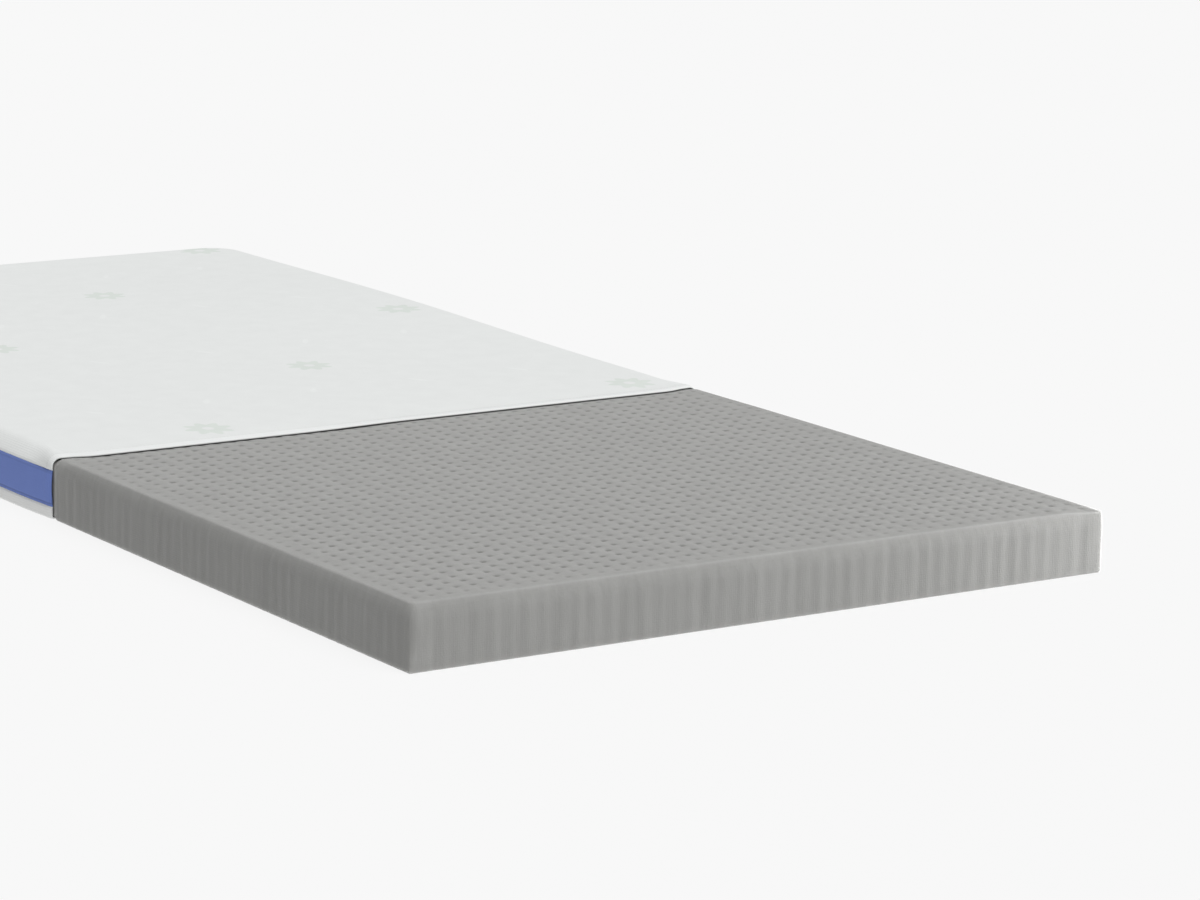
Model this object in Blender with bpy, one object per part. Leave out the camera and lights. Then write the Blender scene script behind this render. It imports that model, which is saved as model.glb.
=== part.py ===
"""Mattress topper for a 90 x 200 cm bed, its knit cover drawn back from one end.

Metres, +Z up. The origin is on the floor under the middle of the topper. +Y runs
from the bare end of the core to the covered end, and the topper lies flat.
"""
import math
from collections import namedtuple

import bmesh
import bpy

# The topper
LENGTH = 2.000               # from the bare end to the back of the cover
CORE_WIDTH = 0.900
CORE_HEIGHT = 0.072
BARE_LENGTH = 0.785          # what the cover leaves bare
CLOTH = 0.002                # thickness of the knit
GAP = 0.0003                 # clearance between neighbours

# The core: upright cells side by side, so its walls are ribbed
CELLS_ACROSS = 44
RIB_DEPTH = 0.0014           # depth of the groove between two cells
CORE_CORNER = 0.015          # upright corners at the bare end
CORE_SHOULDER = 0.012        # top edge at the bare end
CORE_SHOULDER_AT_LIP = 0.0165
CORE_FOOT = 0.005            # bottom edge
FOOT_GROOVE = 0.4            # share of the ribs' grooves that reaches the floor
LIP_DIP = 0.002              # how far the core sinks clear of the cover's lip
DIP_RUN = 0.012              # length of that slope in front of the lip
MOUTH_DEPTH = 0.040          # behind the lip, where the cloth meets the core again

# The cover
SWELL = 0.002                # how far the cover's sides fill out behind its lip
TOP_SWELL = 0.001            # how far its top does
SWELL_RUN = 0.120
COVER_SHOULDER = 0.018
COVER_FOOT = 0.007
PLAN_CORNER = 0.060          # the two covered corners, seen from above
BAND_LOW = 0.0145            # seam of the lower panel and the side band
BAND_HIGH = 0.0620           # seam of the side band and the top panel
BAND_BULGE = 0.0012
SEAM_PINCH = 0.0007          # how far a seam draws the cloth's face in
SEAM_RUN = 0.004
HEM_DEPTH = 0.011            # the turned edge at the lip
HEM_RISE = 0.0006
HEM_EDGE = 0.004             # the length over which it rises, and falls again

# Derived places
CELL = CORE_WIDTH / CELLS_ACROSS
FRONT_Y = -LENGTH / 2
LIP_Y = FRONT_Y + BARE_LENGTH
REAR_Y = LENGTH / 2 - SWELL - BAND_BULGE    # back of the cover before it fills out
HALF_WIDTH = CORE_WIDTH / 2                 # the bare core, and the cover at its lip
COVER_TOP = CORE_HEIGHT + CLOTH
UNDERLAY = CLOTH + GAP                      # the core's height over the floor in the cover

# One rib from groove to groove: place along the cell, share of the groove's depth
RIB_SHAPE = ((0.0, 1.0), (0.17, 0.22), (0.5, 0.0), (0.83, 0.22))

# The core's top edge: degrees round it, share of the groove's depth
SHOULDER_STEPS = ((0, 1.0), (30, 0.9), (60, 0.6), (90, 0.0))

# Shares of the dip in front of the lip where the core's wall is drawn
DIP_STEPS = (1.0, 0.66, 0.33, 0.08)

# Distances behind the lip where a covered section is drawn
LIP_STOPS = (0.0, HEM_EDGE, HEM_DEPTH, HEM_DEPTH + HEM_EDGE, 0.026, MOUTH_DEPTH, 0.080, SWELL_RUN)
COVERED_STEP = 0.160

# Flat pieces in each round stretch
CORE_CORNER_STEPS = 6
PLAN_CORNER_STEPS = 8
COVER_EDGE_STEPS = 5
BAND_STEP = 0.010

Stop = namedtuple("Stop", "x y out_x out_y groove")


def ease(share):
    """Go smoothly from 0 to 1 as share does."""
    share = min(max(share, 0.0), 1.0)
    return share * share * (3.0 - 2.0 * share)


def steps(low, high, longest):
    """Even values from low to high, both included, no further apart than longest."""
    count = max(1, math.ceil((high - low) / longest - 1e-6))
    return [low + (high - low) * i / count for i in range(count + 1)]


def filled(y):
    """Share, from 0 at the lip to 1, in which the cover has filled out."""
    return ease((y - LIP_Y) / SWELL_RUN)


def arc_stops(centre, radius, from_deg, to_deg, count):
    """Plan points round a corner, with the way out of the topper at each."""
    stops = []
    for i in range(count + 1):
        angle = math.radians(from_deg + (to_deg - from_deg) * i / count)
        out_x, out_y = math.cos(angle), math.sin(angle)
        stops.append(Stop(centre[0] + radius * out_x, centre[1] + radius * out_y,
                          out_x, out_y, 0.0))
    return stops


def covered_side_stops():
    """Distances along y at which the covered part of a side is drawn."""
    straight_end = REAR_Y - PLAN_CORNER
    run = [LIP_Y + d for d in LIP_STOPS]
    return run + steps(run[-1], straight_end, COVERED_STEP)[1:-1]


def rear_half_outline(half_width, ys):
    """The right side and the right rear corner of the covered part."""
    side = [Stop(half_width, y, 1.0, 0.0, 0.0) for y in ys]
    centre = (half_width - PLAN_CORNER, REAR_Y - PLAN_CORNER)
    return side + arc_stops(centre, PLAN_CORNER, 0, 90, PLAN_CORNER_STEPS)


def mirrored(stops):
    """The same plan points on the left, in the order that goes on round."""
    return [Stop(-s.x, s.y, -s.out_x, s.out_y, s.groove) for s in reversed(stops)]


# ------------------------------------------------------------------ the core

def rib_marks(first, last, start):
    """Places and groove depths of the ribs from groove number first to last."""
    marks = []
    for cell in range(first, last):
        marks += [(start + (cell + along) * CELL, depth) for along, depth in RIB_SHAPE]
    marks.append((start + last * CELL, RIB_SHAPE[0][1]))
    return marks


def core_half_front():
    """Plan points of the bare end from the middle to the right corner."""
    marks = rib_marks(CELLS_ACROSS // 2, CELLS_ACROSS - 1, -HALF_WIDTH)
    return [Stop(x, FRONT_Y, 0.0, -1.0, depth) for x, depth in marks]


def core_side():
    """Plan points of the right side, from the bare corner to the rear corner."""
    ribs = int((BARE_LENGTH - DIP_RUN) / CELL)
    bare = [Stop(HALF_WIDTH, y, 1.0, 0.0, depth) for y, depth in rib_marks(1, ribs, FRONT_Y)]
    dip = [LIP_Y - DIP_RUN * share for share in DIP_STEPS]
    return bare + [Stop(HALF_WIDTH, y, 1.0, 0.0, 0.0) for y in dip]


def core_outline():
    """The right half of the core's plan: front, corner, side and rear corner."""
    centre = (HALF_WIDTH - CORE_CORNER, FRONT_Y + CORE_CORNER)
    corner = arc_stops(centre, CORE_CORNER, -90, 0, CORE_CORNER_STEPS)
    rear = rear_half_outline(HALF_WIDTH, covered_side_stops())
    return core_half_front(), corner + core_side() + rear


def core_draw(y, cloth_face, swell):
    """How far a face of the core lies inside the bare core's face.

    cloth_face is how far the cover's inner face lies inside it at the lip, and swell
    is how far the cover fills out there.
    """
    if y < LIP_Y:
        return (cloth_face + LIP_DIP) * ease((y - LIP_Y + DIP_RUN) / DIP_RUN)
    mouth = 1.0 - ease((y - LIP_Y) / MOUTH_DEPTH)
    return cloth_face + GAP + (LIP_DIP - GAP) * mouth - swell * filled(y)


def core_section(stop):
    """Points of the core's skin over one plan point, from the floor to the top."""
    climb = DIP_RUN * (1.0 - DIP_STEPS[-1])
    under = UNDERLAY * ease((stop.y - LIP_Y + DIP_RUN) / climb)
    draw = core_draw(stop.y, CLOTH, SWELL)
    top = CORE_HEIGHT - core_draw(stop.y, 0.0, TOP_SWELL)
    radius = CORE_SHOULDER + (CORE_SHOULDER_AT_LIP - CORE_SHOULDER) * ease(
        (stop.y - FRONT_Y) / BARE_LENGTH)
    rib = RIB_DEPTH * stop.groove
    # height, how far in, share of the groove
    profile = [(under, CORE_FOOT, FOOT_GROOVE), (under + CORE_FOOT, 0.0, 1.0)]
    for degrees, share in SHOULDER_STEPS:
        angle = math.radians(degrees)
        profile.append((top - radius * (1.0 - math.sin(angle)),
                        radius * (1.0 - math.cos(angle)), share))
    points = []
    for height, inset, share in profile:
        inward = draw + inset + rib * share
        points.append((stop.x - stop.out_x * inward, stop.y - stop.out_y * inward, height))
    return points


def build_core():
    front, side = core_outline()
    half = front + side
    stops = mirrored(half)[:-1] + half        # the middle of the bare end is shared
    bm = bmesh.new()
    columns = [[bm.verts.new(p) for p in core_section(s)] for s in stops]
    for here, there in zip(columns, columns[1:] + columns[:1]):
        for low in range(len(here) - 1):
            bm.faces.new((here[low], there[low], there[low + 1], here[low + 1]))
    for level, upward in ((0, False), (-1, True)):
        close_plan([c[level] for c in columns], len(side), upward, bm)
    return finish(bm, "core", "grey_core", (0.36, 0.36, 0.355), 0.85)


def close_plan(ring, side_count, upward, bm):
    """Close a flat end: strips between the two sides, one face at the bare end."""
    count = len(ring)
    bare_end = ring[side_count - 1:count - side_count + 1]
    faces = [bare_end]
    for i in range(side_count - 1):
        left, right = side_count - 1 - i, count - side_count + i
        faces.append((ring[left], ring[right], ring[right + 1], ring[left - 1]))
    for face in faces:
        bm.faces.new(face if upward else list(reversed(face)))


# ----------------------------------------------------------------- the cover

def cover_outline():
    """Plan points of the cover from the right lip round to the left one."""
    half = rear_half_outline(HALF_WIDTH, covered_side_stops())
    return half + mirrored(half)


def hem(y):
    """How far the turned edge at the lip stands out of the cloth's face."""
    behind = y - LIP_Y
    return HEM_RISE * ease(behind / HEM_EDGE) * (1.0 - ease((behind - HEM_DEPTH) / HEM_EDGE))


def band_bulge(height):
    """The side band stands out a little between its two seams."""
    share = (height - BAND_LOW) / (BAND_HIGH - BAND_LOW)
    return BAND_BULGE * math.sin(math.pi * min(max(share, 0.0), 1.0))


def seam_pinch(height):
    """A seam draws the cloth's outer face in."""
    away = min(abs(height - BAND_LOW), abs(height - BAND_HIGH))
    return SEAM_PINCH * (1.0 - ease(away / SEAM_RUN))


def wall_inset(height, cloth):
    """How far the cover's skin lies inside its outline at a height.

    cloth is the skin's distance out from the inner face: 0 or CLOTH.
    """
    top, bottom = CORE_HEIGHT + cloth, CLOTH - cloth
    shoulder, foot = COVER_SHOULDER - CLOTH + cloth, COVER_FOOT - CLOTH + cloth
    inset = CLOTH - cloth - band_bulge(height)
    if cloth > 0.0:
        inset += seam_pinch(height)
    rise = height - (top - shoulder)
    if rise > 0.0:
        inset += shoulder - math.sqrt(max(shoulder ** 2 - rise ** 2, 0.0))
    drop = bottom + foot - height
    if drop > 0.0:
        inset += foot - math.sqrt(max(foot ** 2 - drop ** 2, 0.0))
    return inset


def skin_point(stop, height, inset, is_outer):
    """A point of the cover over one plan point."""
    edge = hem(stop.y) if is_outer else 0.0
    out = SWELL * filled(stop.y) + edge - inset
    lift = (TOP_SWELL * filled(stop.y) + edge) * ease(height / CORE_HEIGHT)
    return (stop.x + stop.out_x * out, stop.y + stop.out_y * out, height + lift)


def panel_heights(edge, flat, radius):
    """Heights from a panel's seam, past its pinch and round the edge, to the flat."""
    toward = 1.0 if flat > edge else -1.0
    centre = flat - toward * radius
    free = edge + toward * SEAM_RUN
    heights = [edge, (edge + free) / 2]
    if (free - centre) * toward < 0.0:
        heights.append(free)
    start = math.asin(max((free - centre) * toward / radius, 0.0))
    for i in range(COVER_EDGE_STEPS + 1):
        angle = start + (math.pi / 2 - start) * i / COVER_EDGE_STEPS
        heights.append(centre + toward * radius * math.sin(angle))
    return heights


def skin_columns(bm, stops, heights, cloth):
    """Columns of points up one face of the cloth, one for each plan point."""
    columns = []
    for stop in stops:
        columns.append([bm.verts.new(skin_point(stop, h, wall_inset(h, cloth), cloth > 0.0))
                        for h in heights])
    return columns


def quads_between(bm, columns, turned):
    """Faces between neighbouring columns; turned faces look the other way."""
    for here, there in zip(columns, columns[1:]):
        for k in range(len(here) - 1):
            face = (here[k], there[k], there[k + 1], here[k + 1])
            bm.faces.new(reversed(face) if turned else face)


def lid(bm, columns, turned):
    """Strips from side to side that carry the walls over into the flat panel."""
    ends = [c[-1] for c in columns]
    for i in range(len(ends) // 2 - 1):
        face = (ends[i], ends[i + 1], ends[-2 - i], ends[-1 - i])
        bm.faces.new(reversed(face) if turned else face)


def join_skins(bm, outer, inner, turned):
    """Close the cloth's edge between two rows of points."""
    for a, b, c, d in zip(outer, outer[1:], inner[1:], inner):
        bm.faces.new((a, b, c, d) if turned else (d, c, b, a))


def build_panel(name, slot, edge, flat_outer, flat_inner, radius, upward, color):
    """A flat panel whose three sides turn over an edge of the core down to a seam."""
    stops = cover_outline()
    bm = bmesh.new()
    outer = skin_columns(bm, stops, panel_heights(edge, flat_outer, radius), CLOTH)
    inner = skin_columns(bm, stops, panel_heights(edge, flat_inner, radius - CLOTH), 0.0)
    quads_between(bm, outer, not upward)
    quads_between(bm, inner, upward)
    lid(bm, outer, not upward)
    lid(bm, inner, upward)
    join_skins(bm, [c[0] for c in outer], [c[0] for c in inner], not upward)
    lip_outer = outer[0] + outer[-1][::-1]
    lip_inner = inner[0] + inner[-1][::-1]
    join_skins(bm, lip_outer, lip_inner, upward)
    return finish(bm, name, slot, color, 0.9)


def build_side_band():
    """The upright border round three sides, open at the lip."""
    stops = cover_outline()
    low, high = BAND_LOW + GAP / 2, BAND_HIGH - GAP / 2
    middle = steps(low + SEAM_RUN, high - SEAM_RUN, BAND_STEP)
    heights = [low, low + SEAM_RUN / 2] + middle + [high - SEAM_RUN / 2, high]
    bm = bmesh.new()
    outer = skin_columns(bm, stops, heights, CLOTH)
    inner = skin_columns(bm, stops, heights, 0.0)
    quads_between(bm, outer, False)
    quads_between(bm, inner, True)
    join_skins(bm, [c[0] for c in outer], [c[0] for c in inner], False)
    join_skins(bm, [c[-1] for c in outer], [c[-1] for c in inner], True)
    join_skins(bm, outer[0], inner[0], True)
    join_skins(bm, outer[-1], inner[-1], False)
    return finish(bm, "cover_side_band", "blue_knit", (0.117, 0.171, 0.397), 0.9)


# ------------------------------------------------------------------- objects

def finish(bm, name, slot, color, roughness):
    """Make the object of a mesh, with its material, shaded smooth where round."""
    bm.normal_update()
    mesh = bpy.data.meshes.new(name)
    bm.to_mesh(mesh)
    bm.free()
    mesh.shade_smooth()
    mesh.set_sharp_from_angle(angle=math.radians(40))
    material = bpy.data.materials.new(slot)
    material.use_nodes = True
    shader = material.node_tree.nodes["Principled BSDF"]
    shader.inputs["Base Color"].default_value = (*color, 1.0)
    shader.inputs["Roughness"].default_value = roughness
    shader.inputs["Metallic"].default_value = 0.0
    mesh.materials.append(material)
    piece = bpy.data.objects.new(name, mesh)
    bpy.context.collection.objects.link(piece)
    return piece


def main():
    for old in list(bpy.data.objects):
        bpy.data.objects.remove(old, do_unlink=True)
    white = (0.78, 0.79, 0.785)
    build_core()
    build_panel("cover_top", "white_knit", BAND_HIGH + GAP / 2, COVER_TOP, CORE_HEIGHT,
                COVER_SHOULDER, True, white)
    build_side_band()
    build_panel("cover_bottom", "white_lower_knit", BAND_LOW - GAP / 2, 0.0, CLOTH,
                COVER_FOOT, False, white)


main()
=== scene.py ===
# Mattress topper, its knit cover drawn back from one end of the core. Metres, +Z up.
# +Y runs from the bare end to the covered end. The topper lies flat on the floor.

import math

import bpy
import numpy as np
from mathutils import Matrix, Vector


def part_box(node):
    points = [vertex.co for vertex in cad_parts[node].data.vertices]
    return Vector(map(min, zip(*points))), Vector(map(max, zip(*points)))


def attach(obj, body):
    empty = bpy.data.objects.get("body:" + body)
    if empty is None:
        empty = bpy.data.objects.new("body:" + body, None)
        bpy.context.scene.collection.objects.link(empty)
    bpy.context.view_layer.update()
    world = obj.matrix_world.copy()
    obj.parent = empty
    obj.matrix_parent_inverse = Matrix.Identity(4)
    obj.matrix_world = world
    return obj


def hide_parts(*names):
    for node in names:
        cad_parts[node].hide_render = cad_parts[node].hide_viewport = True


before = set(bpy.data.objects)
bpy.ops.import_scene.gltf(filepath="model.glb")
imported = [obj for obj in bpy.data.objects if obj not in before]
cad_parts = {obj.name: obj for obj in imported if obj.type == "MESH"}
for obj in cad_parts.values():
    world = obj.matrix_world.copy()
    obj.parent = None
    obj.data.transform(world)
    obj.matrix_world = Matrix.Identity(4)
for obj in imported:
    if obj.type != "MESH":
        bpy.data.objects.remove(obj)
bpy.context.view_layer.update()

# ------------------------------------------------------------------ sizes

# Places that the frame gives
core_low, core_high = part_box("core")
top_low, top_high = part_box("cover_top")
band_low, band_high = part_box("cover_side_band")
lower_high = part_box("cover_bottom")[1]

FRONT = core_low.y                  # the bare end
LIP = top_low.y                     # where the cover starts
HALF_WIDTH = core_high.x

# The cover
CLOTH = 0.002                       # thickness of the knit
GAP = 0.0003                        # clearance between neighbours
SIDE_SWELL = 0.005                  # how far the cover's sides fill out behind its lip
TOP_SWELL = 0.001                   # how far its top does
TOP_CROWN = 0.004                   # and how much more it does halfway along its right side
CROWN_FROM_LIP = 0.22               # where that starts behind the lip
CROWN_FROM_BACK = 0.02              # and where it ends before the back
CROWN_ACROSS = (-0.15, 0.30)        # the places across between which it comes in
SWELL_RUN = 0.035                   # run behind the lip in which most of the filling out is done
SEAM_SAG = 0.0055                   # how far the upper seam hangs below its cut line
FOOT = 0.003                        # radius of the bottom edge
PLAN_CORNER = 0.060                 # the two covered corners, seen from above
BAND_BULGE = 0.0012                 # how far the band bulges between its seams
SEAM_PINCH = 0.0013                 # how far a seam draws the cloth's face in
SEAM_RUN = 0.0035                   # and within what distance
STITCHES_UP = 0.0035                # a line of stitches in the band, above its lower seam
STITCHES_DEPTH = 0.0007
STITCHES_WIDTH = 0.0012
HEM_DEPTH = 0.011                   # the turned edge at the lip
HEM_RISE = 0.0006                   # how far it stands out of the cloth
HEM_EDGE = 0.004                    # run in which that comes, and in which it goes
HEM_DROOP = (0.0019, 0.0003)        # how far the top's hem sags, on its left and right halves
HEM_GAP = (0.0028, 0.0014)          # how far over the core it hangs there
HEM_CHANGE = (-0.12, 0.02)          # the places across between which one half becomes the other
HEM_DROOP_RUN = 0.014               # how far behind the lip the sagging ends
HEM_REACH = 0.008                   # how far it bows forward between the sides
BOW_MARGIN = 0.012                  # how far in from the sides the bow starts
BOW_RUN = 0.040                     # and in what run it is full
BOW_DEPTH = 0.060                   # how far behind the lip it ends
LIP_ROUND = 0.0008                  # width of the hem's rounded edges
PUCKER = 0.00025                    # waves that the seams draw into the cloth
PUCKER_PITCH = 0.034
PUCKER_REACH = 0.012                # how far they run from the seam
SLACK = 0.00035                     # slow waves in the flat of the cloth
CLOTH_STEP = 0.010                  # mesh squares in the cloth
# Distances of the mesh's levels from the flat of the top panel and of the lower one
TOP_DROPS = (0.0001, 0.0004, 0.001, 0.0017, 0.0026, 0.0048, 0.0072, 0.0096, 0.012)
LOWER_RISES = (0.0001, 0.0004, 0.0009, 0.0015, 0.0022, 0.003)

# The core
CELLS_ACROSS = 44
CELL_LENGTH = 0.01945               # along the topper
FIRST_CELL = 0.0249                 # from the bare end to the first row of pits
PIT_ROWS = 39
CORE_CORNER = 0.013                 # radius of the left upright corner at the bare end
CORNER_AT_FLOOR = 0.004             # and its radius at the floor
SHARPENS_AT = 0.035                 # the height under which it gets sharper
RIGHT_CORNER = 0.002                # radius of the right upright corner, at any height
RIM_MARGIN = 0.0008                 # least radius of a corner, past its rim
BARE_EDGE = 0.0035                  # the bare top edge: a round on this radius,
BARE_TURN = 57                      # of so many degrees,
BARE_LEAN = 0.0355                  # and a slower one on this radius down to the wall
RIGHT_LACK = 0.2                    # share of its lean that is missing along the right side
FRONT_LACK = 0.55                   # and along the front, by the right corner
STAND_RUN = 0.050                   # how far from that corner the edge leans in full again
STAND_END = (0.160, 0.060)          # distances before the lip between which the side's does
CORNER_SINK = 0.0025                # how far that corner's top lies lower
LIP_EDGE = 0.0105                   # radius of the top edge at the lip
TIGHT_EDGE = 0.018                  # and behind it, where the tight cover presses it down:
TIGHT_TURN = 35                     # a round of so many degrees
TIGHT_LEAN = 0.0784                 # and a slower one on this radius
TIGHT_END = 50                      # on to so many degrees
EDGE_RIM = 0.0249                   # how far in the covered top edge starts to turn
EDGE_MIX = 0.060                    # run in which one shape of the top edge becomes the next
# Drops of the mesh's levels down the core's top edge
EDGE_DROPS = np.array((0.0, 0.0002, 0.0007, 0.0016, 0.0051, 0.0088, 0.0128, 0.0168, 0.0209))
CORE_FOOT = 0.003                   # radius of the bottom edge
SIDE_CLEARANCE = 0.0006             # between the cover and the core at the lip
DIP_RUN = 0.012                     # run before the lip in which the core is drawn in
MOUTH_DEPTH = 0.040                 # behind the lip, where cloth and core meet again
RIB_DEPTH = 0.0008                  # groove between two cells on a wall
RIB_CREST = 0.0004                  # how much lower than the wall's face a rib may be
PIT_DEPTH = 0.0023                  # at the middle of each cell's top
PIT_RADIUS = 0.0030
PIT_BY_WALL = (0.0, 0.5, 0.8, 1.0)  # the pits' depth on the wall, and one, two and three rows in
RELIEF_FROM_WALL = 0.010            # how far in from the walls the top's relief starts
RELIEF_RUN = 0.004                  # and in what run it is full
DOME = 0.0002                       # swell of the top between the pits
NODE_DRIFT = 0.0005                 # how far the pits stray from their lattice
PIT_SPREAD = (0.75, 1.2)            # how unevenly deep the pits and grooves are
DOME_SPREAD = (0.6, 1.3)            # and how unevenly the top swells
GROOVE_SHADE = 0.06                 # painted shade in a wall's grooves: how much darker the cloth is there
SIDE_SHADE = 0.20                   # and painted shade all down the two long walls, below the top's edge

# What follows from them
BACK = band_high.y
REAR = BACK - SIDE_SWELL - BAND_BULGE       # back of the cover before it fills out
CORE_HEIGHT = top_high.z - TOP_SWELL - CLOTH
UNDERLAY = CLOTH + GAP                      # the core's height over the floor in the cover
CELL = 2 * HALF_WIDTH / CELLS_ACROSS
LOW_SEAM = (lower_high.z + band_low.z) / 2
HIGH_SEAM = (band_high.z + top_low.z) / 2 - SEAM_SAG
SHOULDER = EDGE_RIM + CLOTH                 # the cover's top edge, seen from above

# Mesh lines from one pit to the next, as shares of the way: close together by the pits
CELL_LINES = np.array((0.0, 0.11, 0.25, 0.5, 0.75, 0.89))
CORNER_LINES = 4                            # between a wall's shoulder and a corner's centre
EDGE_CELL_LINES = CORNER_LINES + 4          # mesh squares from a wall to the first pit
SHOULDER_STEPS = len(EDGE_DROPS) - 1
WALL_STEPS = 4
FOOT_STEPS = 3

rng = np.random.default_rng(11)


def ease(share):
    """Go smoothly from 0 to 1 as share does."""
    share = np.clip(share, 0.0, 1.0)
    return share * share * (3.0 - 2.0 * share)


def between(value, start, end):
    """Go smoothly from 0 to 1 as value goes from start to end."""
    return ease((value - start) / (end - start))


def filled(y):
    """Share, from 0 at the lip to 1, in which the cover has filled out."""
    return 1.0 - np.exp(-np.maximum(y - LIP, 0.0) / SWELL_RUN)


def top_swell(x, y):
    """How far the cover's top fills out, once clear of the lip."""
    start, end = LIP + CROWN_FROM_LIP, BACK - CROWN_FROM_BACK
    halfway = np.sin(np.pi * np.clip((y - start) / (end - start), 0.0, 1.0)) ** 2
    return TOP_SWELL + TOP_CROWN * halfway * between(x, *CROWN_ACROSS)


def turned(drop, edge, turn, lean, until=90):
    """How far out a face has come when it has dropped this far over a rounded edge.

    It turns by turn degrees on the radius edge, and then to until degrees on the radius lean.
    """
    first, last = math.radians(turn), math.radians(until)
    start = edge * (1 - math.cos(first))
    steep = np.where(drop < start, 1 - drop / edge, math.cos(first) - (drop - start) / lean)
    angle = np.arccos(np.clip(steep, math.cos(last), 1.0))
    return np.where(drop < start, edge * np.sin(angle),
                    edge * math.sin(first) + lean * (np.sin(angle) - math.sin(first)))


def covered_edge(drop, y, thickness):
    """How far out the cover's inner face or, with its thickness, its outer face has come at a
    drop. Its edge is round at the lip, and behind that it is broad and pulled tight."""
    flat = np.where(drop > 0.0, EDGE_RIM - LIP_EDGE, 0.0)
    at_lip = flat + turned(drop, LIP_EDGE + thickness, 90, 1.0)
    behind = turned(drop, TIGHT_EDGE + thickness, TIGHT_TURN, TIGHT_LEAN + thickness, TIGHT_END)
    mixed = at_lip + (behind - at_lip) * ease((y - LIP) / EDGE_MIX)
    return np.minimum(mixed, EDGE_RIM + thickness)


def covered_drop(out):
    """How far the tight cover's inner face has dropped once it has come this far out."""
    first = math.radians(TIGHT_TURN)
    rounded = np.clip(out, 0.0, TIGHT_EDGE * math.sin(first))
    lean = np.arcsin(math.sin(first) + (np.maximum(out, rounded) - rounded) / TIGHT_LEAN)
    return (TIGHT_EDGE - np.sqrt(TIGHT_EDGE ** 2 - rounded ** 2)
            + TIGHT_LEAN * (math.cos(first) - np.cos(lean)))


def left_to_right(values, x):
    """The first value on the left half of the hem and the second on its right half."""
    left, right = values
    return left + (right - left) * between(x, *HEM_CHANGE)


def lip_reach(x, y):
    """How far forward the top of the cover lies at its lip, between the sides."""
    bow = ease((HALF_WIDTH - BOW_MARGIN - np.abs(x)) / BOW_RUN)
    return HEM_REACH * bow * (1.0 - ease((y - LIP) / BOW_DEPTH))


# ------------------------------------------------------- modelling helpers

def coordinates(mesh):
    """A mesh's points, one in each row."""
    flat = np.empty(len(mesh.vertices) * 3)
    mesh.vertices.foreach_get("co", flat)
    return flat.reshape(-1, 3)


def edge_ends(mesh):
    """The two points of each edge, as their numbers."""
    ends = np.empty(len(mesh.edges) * 2, int)
    mesh.edges.foreach_get("vertices", ends)
    return ends.reshape(-1, 2)


def move_to(piece, points):
    """Put a piece's points in new places."""
    piece.data.vertices.foreach_set("co", np.ascontiguousarray(points, np.float32).ravel())
    piece.data.update()


def edit(piece, kind, chosen):
    """Enter edit mode with only the chosen vertices or edges selected."""
    bpy.context.view_layer.objects.active = piece
    for elements in (piece.data.vertices, piece.data.edges, piece.data.polygons):
        elements.foreach_set("select", np.zeros(len(elements), bool))
    getattr(piece.data, kind).foreach_set("select", chosen)
    bpy.context.tool_settings.mesh_select_mode = (kind == "vertices", kind == "edges", False)
    bpy.ops.object.mode_set(mode="EDIT")


def blank(name, columns, rows):
    """A flat grid with one unit to a square, from the origin along +X and +Y."""
    bpy.ops.object.select_all(action="DESELECT")
    bpy.ops.mesh.primitive_grid_add(x_subdivisions=columns, y_subdivisions=rows, size=1.0,
                                    location=(0.0, 0.0, 0.0))
    piece = bpy.context.object
    piece.name = piece.data.name = name
    bpy.ops.object.mode_set(mode="EDIT")
    bpy.ops.transform.resize(value=(columns, rows, 1.0))
    bpy.ops.transform.translate(value=(columns / 2, rows / 2, 0.0))
    bpy.ops.object.mode_set(mode="OBJECT")
    return piece


def pull_walls(piece, columns, rows, levels, all_round, upward=False):
    """Pull the grid's rim down, or up, one unit a level. It stays open at the lip's side
    unless it goes all round."""
    at = np.rint(coordinates(piece.data))
    ends = edge_ends(piece.data)
    rim = [(0, 0), (0, columns), (1, rows)] + [(1, 0)] * all_round
    chosen = np.zeros(len(ends), bool)
    for axis, value in rim:
        chosen |= (at[ends, axis] == value).all(axis=1)
    edit(piece, "edges", chosen)
    for _ in range(levels):
        bpy.ops.mesh.extrude_region_move(
            TRANSFORM_OT_translate={"value": (0.0, 0.0, 1.0 if upward else -1.0)})
    bpy.ops.mesh.select_all(action="SELECT")
    bpy.ops.mesh.normals_make_consistent(inside=False)
    bpy.ops.object.mode_set(mode="OBJECT")


def lattice_place(piece):
    """Column, row and level of each point of a blank."""
    at = np.rint(coordinates(piece.data)).astype(int)
    return at[:, 0], at[:, 1], np.abs(at[:, 2])


def lay_out(side, side_inset, y, rim, bare_end):
    """Where a blank's points lie in plan once its corners are pulled round.

    side_inset is the distance in from the side wall and rim that of the blank's own edge.
    Gives x, y and the way out of the topper at the edge.
    """
    at_front = (y < LIP) & bare_end
    radius = np.where(at_front, np.maximum(CORE_CORNER, rim + RIM_MARGIN), PLAN_CORNER)
    end_inset = np.where(at_front, y - FRONT, REAR - y)
    across = (radius - side_inset) / (radius - rim)
    along = (radius - end_inset) / (radius - rim)
    reach = (radius - rim) * np.maximum(across, along)
    length = np.maximum(np.hypot(across, along), 1e-9)
    in_corner = (across > 0) & (along > 0)
    out_across = np.where(in_corner, across / length, across >= along)
    out_along = np.where(in_corner, along / length, across < along)
    side_inset = np.where(in_corner, radius - reach * out_across, side_inset)
    end_inset = np.where(in_corner, radius - reach * out_along, end_inset)
    x = side * (HALF_WIDTH - side_inset)
    y = np.where(at_front, FRONT + end_inset, REAR - end_inset)
    return x, y, side * out_across, np.where(at_front, -out_along, out_along)


def mark(piece, name, values):
    """Keep a value for each point, for the piece's material to read."""
    attribute = piece.data.attributes.new(name, "FLOAT", "POINT")
    attribute.data.foreach_set("value", np.asarray(values, np.float32))


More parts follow.
